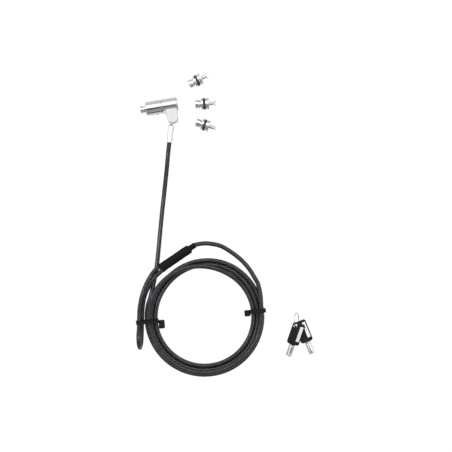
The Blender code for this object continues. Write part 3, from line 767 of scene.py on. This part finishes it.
def build_ferrule():
    """The ferrule pressed onto the strand: it tapers, has a swaged neck and four shallow press
    marks, whose depth goes with cos^8 of twice the angle."""
    swivel = joint_placing("cable_swivel")

    def pressed(x, r, a):
        marks = step(x, 16, 18) * (1 - step(x, 27, 29)) * (r > 3.0)
        return x, r - PRESS_MARK_DEPTH * marks * np.cos(2 * a + 0.5) ** 8

    ferrule = spun("ferrule_sleeve", (
        (32.6, 2.0), (32.6, 3.15), (32.0, 3.3), (29.0, 3.36), (26.0, 3.43), (22.0, 3.5),
        (18.0, 3.6), (15.0, 3.68), (13.2, 3.7), (11.2, 2.7), (11.0, 2.1), (14.2, 2.1),
        (14.2, 2.95), (17.3, 2.95), (17.3, 2.0),
    ), swivel, finish_for("zinc"), steps=96, edge=0.35, reshape=pressed)
    settle(ferrule, "cable", "zinc", "ferrule")


# ---- Tips ----

class CABLELOCK_OT_tips(bpy.types.Operator):
    """Builds the three tips: stud, drum with a rubber band, flange, spindle and bar"""

    bl_idname = "cable_lock.tips"
    bl_label = "Lock tips"

    def execute(self, context):
        edge = context.scene.cable_lock_tips.edge / MM
        for number in (1, 2, 3):
            build_tip(number, joint_placing(f"tip_{number}_turn"), edge)
        return {"FINISHED"}


def build_tip(number, place, edge):
    own, chrome = f"tip_{number}", finish_for("chrome")
    body = spun(own + "_drum", (
        (-12.4, 1.9), (-12.4, 4.6), (-12.0, STUD_RADIUS), (-7.3, STUD_RADIUS), (-6.9, 4.6),
        (-6.9, 3.9), (-5.4, 3.9), (-5.4, 6.4), (-5.1, DRUM_RADIUS), (-3.1, DRUM_RADIUS),
        (-3.1, 5.7), (-0.1, 5.7), (-0.1, DRUM_RADIUS), (1.9, DRUM_RADIUS), (1.9, 4.0),
        (3.9, 4.0), (3.9, 1.9),
    ), place, chrome, steps=80, edge=edge)
    settle(body, own, "chrome", own + "_body")
    band = spun(own + "_ring", (
        (-2.85, 6.0), (-2.85, 6.7), (-2.3, 6.95), (-0.9, 6.95), (-0.35, 6.7), (-0.35, 6.0),
    ), place, finish_for("rubber"), steps=80, edge=0.3)
    settle(band, own, "rubber", own + "_band")
    flange = spun(own + "_washer", (
        (2.2, 4.3), (2.2, 7.1), (2.5, FLANGE_RADIUS), (3.9, FLANGE_RADIUS), (4.1, 6.9), (4.1, 4.3),
    ), place, chrome, steps=80, edge=0.25)
    settle(flange, own, "chrome", own + "_flange")
    spindle = spun(own + "_spindle", (
        (-11.6, 0.6), (-11.6, 1.6), (4.3, 1.6), (4.3, 2.4), (7.4, 2.1), (10.4, 2.1), (10.4, 0.6),
    ), place, finish_for("steel"), closed=False, steps=48, edge=0.2)
    outline, half_thick = bar_shape(number)
    bar = slab(own + "_lugs", softened(outline, 0.9), -half_thick, half_thick, place,
               finish_for("steel"), edge=0.45)
    combined(spindle, bar, "UNION")
    settle(spindle, own + "_spindle", "steel", own + "_bar")


def bar_shape(number):
    """The bar's outline and half its thickness: two wide T-bars on flared stems, and a small one."""
    if number == 3:
        return ((6.0, 1.5), (6.0, -1.5), (10.4, -1.5), (10.9, -2.5), (12.4, -2.5),
                (12.4, 2.5), (10.9, 2.5), (10.4, 1.5)), 1.1
    width, start = (3.6, 9.9) if number == 1 else (3.5, 10.5)
    return ((7.0, 1.9), (7.0, -1.9), (start, -2.2), (start + 0.6, -width), (12.4, -width),
            (12.4, width), (start + 0.6, width), (start, 2.2)), 1.5


# ---- Keys ----

class CABLELOCK_OT_keys(bpy.types.Operator):
    """Builds the two tubular keys and the wire ring through them"""

    bl_idname = "cable_lock.keys"
    bl_label = "Keys and ring"

    def execute(self, context):
        edge = context.scene.cable_lock_keys.edge / MM
        for number in (1, 2):
            build_key(number, key_placing(number), edge)
        low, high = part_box("key_ring")
        lean = math.radians(RING_LEAN)
        place = placing(np.array((low + high) / 2), (math.cos(lean), 0, -math.sin(lean)))
        wire = circle((0, RING_RADIUS), RING_WIRE_RADIUS, 16)
        ring = spun("split_ring", wire, place, finish_for("steel"), steps=128, edge=0)
        settle(ring, "ring", "steel", "key_ring")
        return {"FINISHED"}


def key_placing(number):
    """A key's frame from its ring hole: Z is the hole's axis and X runs down to the tube."""
    joint = JOINTS[f"key_{number}_swing"]
    up = unit(joint["axis"])
    lean = math.hypot(up[0], up[1])
    along = unit((up[0], up[1], 0)) * up[2] - UP * lean
    return placing(joint["pos_m"], along, up)


def build_key(number, place, edge):
    own, half = f"key_{number}", KEY_THICKNESS / 2
    x, y = KEY_MIDDLE
    label_middle = (x + LABEL_SHIFT[0], y + LABEL_SHIFT[1])
    plastic = finish_for("black_plastic")
    head = slab(own + "_grip", rounded_box(KEY_LENGTH, KEY_WIDTH, 2.6, KEY_MIDDLE), -half, half,
                place, plastic, edge=edge, steps=5)
    cuts = (
        ("hole", circle((0, 0), KEY_HOLE_RADIUS, 48), -half - 1, half + 1),
        ("recess", rounded_box(LABEL_LENGTH + 0.6, LABEL_WIDTH + 0.6, 0.6, label_middle),
         half - 0.6, half + 1),
    )
    for what, outline, low, high in cuts:
        combined(head, slab(own + what, outline, low, high, place, plastic, edge=0.02, steps=1),
                 "DIFFERENCE")
    settle(head, own, "black_plastic", own + "_head")
    label = slab(own + "_plate", rounded_box(LABEL_LENGTH, LABEL_WIDTH, 0.4, label_middle),
                 half - 0.3, half - 0.05, place, finish_for("silver_label"), edge=0.08)
    settle(label, own, "silver_label", own + "_label")
    start, stop = KEY_LENGTH / 2 + 0.3, KEY_LENGTH / 2 + KEY_TUBE_LENGTH

    def bitted(x, r, a):
        """Seven half-round bites round the rim, not all as deep, and a small guide nib."""
        bites = np.abs(np.cos(3.5 * a)) ** 6 * (0.55 + 0.25 * np.sin(2 * a + number))
        rim = step(x, stop - 0.6, stop - 0.25)
        nib = 0.55 * np.exp(-((a - 1.2) / 0.13) ** 2) * step(x, stop - 3.6, stop - 3.2)
        outer = r > KEY_TUBE_RADIUS - 0.45
        return x - rim * bites, r + nib * outer * (1 - step(x, stop - 1.4, stop - 1.0))

    tube_place = shifted(place, (x, y, 0))
    shank = spun(own + "_shank", (
        (start + 3, KEY_TUBE_BORE), (stop - 4, KEY_TUBE_BORE), (stop - 0.7, KEY_TUBE_BORE),
        (stop, KEY_TUBE_BORE), (stop, KEY_TUBE_RADIUS),
        (stop - 0.7, KEY_TUBE_RADIUS), (stop - 1.2, KEY_TUBE_RADIUS), (stop - 2, KEY_TUBE_RADIUS),
        (stop - 3.4, KEY_TUBE_RADIUS), (stop - 4, KEY_TUBE_RADIUS), (start + 2, KEY_TUBE_RADIUS),
        (start + 1.7, KEY_TUBE_RADIUS - 0.3), (start + 1.2, KEY_TUBE_RADIUS - 0.3),
        (start + 0.9, KEY_TUBE_RADIUS), (start, KEY_TUBE_RADIUS), (start, 1.0),
    ), tube_place, finish_for("chrome"), closed=False, steps=112, edge=0.15, reshape=bitted)
    settle(shank, own, "chrome", own + "_tube")


# ---- Frame nodes ----

class CABLELOCK_OT_frame_nodes(bpy.types.Operator):
    """Gives every frame node that still shows its own finish"""

    bl_idname = "cable_lock.frame_nodes"
    bl_label = "Finish the frame's nodes"

    def execute(self, context):
        for part in frame["record"]["subparts"]:
            node = frame["nodes"][part["node"]]
            node.data.materials.clear()
            node.data.materials.append(finish_for(part["material_slot"]))
        return {"FINISHED"}


# ---- Stage ----

class CABLELOCK_OT_stage(bpy.types.Operator):
    """Lays a white sweep, hangs studio light over it and sets the camera overhead"""

    bl_idname = "cable_lock.stage"
    bl_label = "Stage, light and camera"

    def execute(self, context):
        settings = context.scene.cable_lock_stage
        for obj in [o for o in bpy.data.objects if o.type in {"CAMERA", "LIGHT"}]:
            bpy.data.objects.remove(obj)
        context.scene.view_settings.view_transform = "Standard"
        lay_floor(settings)
        light_room(context.scene, settings)
        hang_light(*BACK_STRIP, settings.strip_power)
        hang_light(*SIDE_STRIP, settings.strip_power / 3)
        hang_light(*SOFTBOX, settings.softbox_power)
        data = bpy.data.cameras.new("Overhead camera")
        data.lens, data.sensor_width = settings.lens, 36.0
        data.clip_end = 20.0
        camera = bpy.data.objects.new("Overhead camera", data)
        context.scene.collection.objects.link(camera)
        camera.location = (*settings.aim, settings.camera_height)
        context.scene.camera = camera
        return {"FINISHED"}


def lay_floor(settings):
    """A flat sweep lit from within: dark itself, and glowing evenly, so that shadows stay faint."""
    made, tree, shader = blank("Backlit sweep")
    place = add_node(tree, "ShaderNodeTexCoord").outputs["Object"]
    fibre = add_node(tree, "ShaderNodeTexNoise", {"Vector": place, "Scale": 900.0})
    tone = add_node(tree, "ShaderNodeMix", {0: fibre.outputs[0], 6: linear("#2c2c2c"),
                                            7: linear("#303030")}, data_type="RGBA")
    tree.links.new(tone.outputs[2], shader.inputs["Base Color"])
    shader.inputs["Roughness"].default_value = 0.95
    shader.inputs["Specular IOR Level"].default_value = 0.0
    shader.inputs["Emission Color"].default_value = (1, 1, 1, 1)
    shader.inputs["Emission Strength"].default_value = settings.floor_glow
    half = SWEEP_HALF_WIDTH
    corners = ((-half, -half, 0), (half, -half, 0), (half, half, 0), (-half, half, 0))
    mesh = bpy.data.meshes.new("Sweep")
    mesh.from_pydata(corners, [], [(0, 1, 2, 3)])
    mesh.materials.append(made)
    floor = bpy.data.objects.new("Sweep", mesh)
    bpy.context.scene.collection.objects.link(floor)


def light_room(scene, settings):
    """Soft light by direction, which is what polished metal shows. From -Y to +Y: a grey wall with
    a dark foot, a dark gap, and from overhead on a white ceiling that ends in light grey. On the X
    sides stand two white cards, which fade out as |y| grows."""
    world = scene.world or bpy.data.worlds.new("Studio")
    scene.world = world
    world.use_nodes = True
    tree = world.node_tree
    back = tree.nodes["Background"]
    way = add_node(tree, "ShaderNodeTexCoord").outputs["Generated"]
    split = add_node(tree, "ShaderNodeSeparateXYZ", {0: way})
    share = add_node(tree, "ShaderNodeMapRange", {"Value": split.outputs[1], "From Min": -1.0,
                                                  "From Max": 1.0})
    sideways = add_node(tree, "ShaderNodeMath", {0: split.outputs[0]}, operation="ABSOLUTE")
    greys = []
    for value, stops in ((share, ROOM_WALLS), (sideways, ROOM_CARDS)):
        ramp = add_node(tree, "ShaderNodeValToRGB", {"Fac": value.outputs[0]})
        elements = ramp.color_ramp.elements
        for element, (at, grey) in zip((elements[0], elements[1]), (stops[0], stops[-1])):
            element.position, element.color = at, (grey, grey, grey, 1)
        for at, grey in stops[1:-1]:
            elements.new(at).color = (grey, grey, grey, 1)
        greys.append(ramp.outputs[0])
    walls, cards = greys
    level = add_node(tree, "ShaderNodeMath", {0: split.outputs[1]}, operation="ABSOLUTE")
    near = add_node(tree, "ShaderNodeMapRange", {
        "Value": level.outputs[0], "From Min": 0.38, "From Max": 0.58, "To Min": 1.0,
        "To Max": 0.0}, interpolation_type="SMOOTHSTEP")
    lit = add_node(tree, "ShaderNodeMath", {0: cards, 1: near.outputs[0]}, operation="MULTIPLY")
    most = add_node(tree, "ShaderNodeMath", {0: walls, 1: lit.outputs[0]}, operation="MAXIMUM")
    tree.links.new(most.outputs[0], back.inputs["Color"])
    back.inputs["Strength"].default_value = settings.room_light


def hang_light(name, place, size, power):
    data = bpy.data.lights.new(name, "AREA")
    data.shape, data.energy = "RECTANGLE", power
    data.size, data.size_y = size
    light = bpy.data.objects.new(name, data)
    bpy.context.scene.collection.objects.link(light)
    light.location = place
    light.rotation_mode = "QUATERNION"
    light.rotation_quaternion = (-light.location).to_track_quat("-Z", "Y")


# ---- Add-on ----

class CableLockCable(bpy.types.PropertyGroup):
    diameter: FloatProperty(
        name="Diameter", description="Across the cable's coating", default=0.0054, min=0.003,
        max=0.0054, unit="LENGTH", precision=4)
    lay_length: FloatProperty(
        name="Lay length", description="Length in which a strand goes once round the cable",
        default=0.034, min=0.01, max=0.1, unit="LENGTH", precision=4)
    # The strands' light colour: the steel seen through the coat, and also a painted glint on their crests
    glint_colour: FloatVectorProperty(
        name="Strand and painted glint colour", description="Colour of the steel seen through the dark coating",
        default=linear("#47484b")[:3], min=0.0, max=1.0, subtype="COLOR")


class CableLockHead(bpy.types.PropertyGroup):
    edge: FloatProperty(
        name="Edge rounding", description="Rounding of the turned edges of barrel and collar",
        default=0.00022, min=0.0, max=0.0004, unit="LENGTH", precision=5)


class CableLockTips(bpy.types.PropertyGroup):
    edge: FloatProperty(
        name="Edge rounding", description="Rounding of the turned edges of a tip's drum",
        default=0.00025, min=0.0, max=0.0004, unit="LENGTH", precision=5)


class CableLockKeys(bpy.types.PropertyGroup):
    edge: FloatProperty(
        name="Edge rounding", description="Rounding round the edge of a key's plastic head",
        default=0.0007, min=0.0002, max=0.001, unit="LENGTH", precision=5)


class CableLockStage(bpy.types.PropertyGroup):
    camera_height: FloatProperty(
        name="Camera height", description="Height of the camera over the sweep", default=1.289,
        min=0.5, max=3.0, unit="LENGTH")
    lens: FloatProperty(
        name="Lens", description="Focal length in millimetres", default=85.0, min=24.0, max=200.0)
    aim: FloatVectorProperty(
        name="Aim", description="The point that the camera stands over", size=2,
        default=(-0.00193, -0.01337), unit="LENGTH")
    room_light: FloatProperty(
        name="Room light", description="Strength of the light all round", default=1.9, min=0.0,
        max=4.0)
    strip_power: FloatProperty(
        name="Strip power", description="Power of the back strip light; the side one has a third",
        default=10.0, min=0.0, max=100.0, unit="POWER")
    softbox_power: FloatProperty(
        name="Softbox power", description="Power of the softbox over the keys", default=0.9,
        min=0.0, max=100.0, unit="POWER")
    floor_glow: FloatProperty(
        name="Sweep glow", description="How far the sweep lights up by itself", default=1.0,
        min=0.0, max=1.0)


class CABLELOCK_PT_build(bpy.types.Panel):
    """Lists the settings and the pieces"""

    bl_idname = "CABLELOCK_PT_build"
    bl_label = "Cable Lock"
    bl_space_type = "VIEW_3D"
    bl_region_type = "UI"
    bl_category = "Cable Lock"

    def draw(self, context):
        for group, operators in GROUPS.items():
            box = self.layout.box()
            settings = getattr(context.scene, group, None)
            if settings:
                for name in settings.bl_rna.properties.keys():
                    if name not in ("name", "rna_type"):
                        box.prop(settings, name)
            for operator in operators:
                box.operator(operator.bl_idname)


GROUPS = {
    "cable_lock_stage": (CABLELOCK_OT_stage,),
    "cable_lock_cable": (CABLELOCK_OT_cable,),
    "cable_lock_head": (CABLELOCK_OT_lock_head,),
    "cable_lock_tips": (CABLELOCK_OT_tips,),
    "cable_lock_keys": (CABLELOCK_OT_keys,),
    "cable_lock_nodes": (CABLELOCK_OT_frame_nodes,),
}
PROPERTY_GROUPS = {
    "cable_lock_stage": CableLockStage, "cable_lock_cable": CableLockCable,
    "cable_lock_head": CableLockHead, "cable_lock_tips": CableLockTips,
    "cable_lock_keys": CableLockKeys,
}


def register():
    for name, group in PROPERTY_GROUPS.items():
        bpy.utils.register_class(group)
        setattr(bpy.types.Scene, name, PointerProperty(type=group))
    for operators in GROUPS.values():
        for operator in operators:
            bpy.utils.register_class(operator)
    bpy.utils.register_class(CABLELOCK_PT_build)


def unregister():
    bpy.utils.unregister_class(CABLELOCK_PT_build)
    for operators in GROUPS.values():
        for operator in operators:
            bpy.utils.unregister_class(operator)
    for name, group in PROPERTY_GROUPS.items():
        delattr(bpy.types.Scene, name)
        bpy.utils.unregister_class(group)


def main():
    register()
    bpy.ops.cable_lock.stage()
    bpy.ops.cable_lock.cable()
    bpy.ops.cable_lock.lock_head()
    bpy.ops.cable_lock.tips()
    bpy.ops.cable_lock.keys()
    bpy.ops.cable_lock.frame_nodes()


if __name__ == "__main__":
    main()
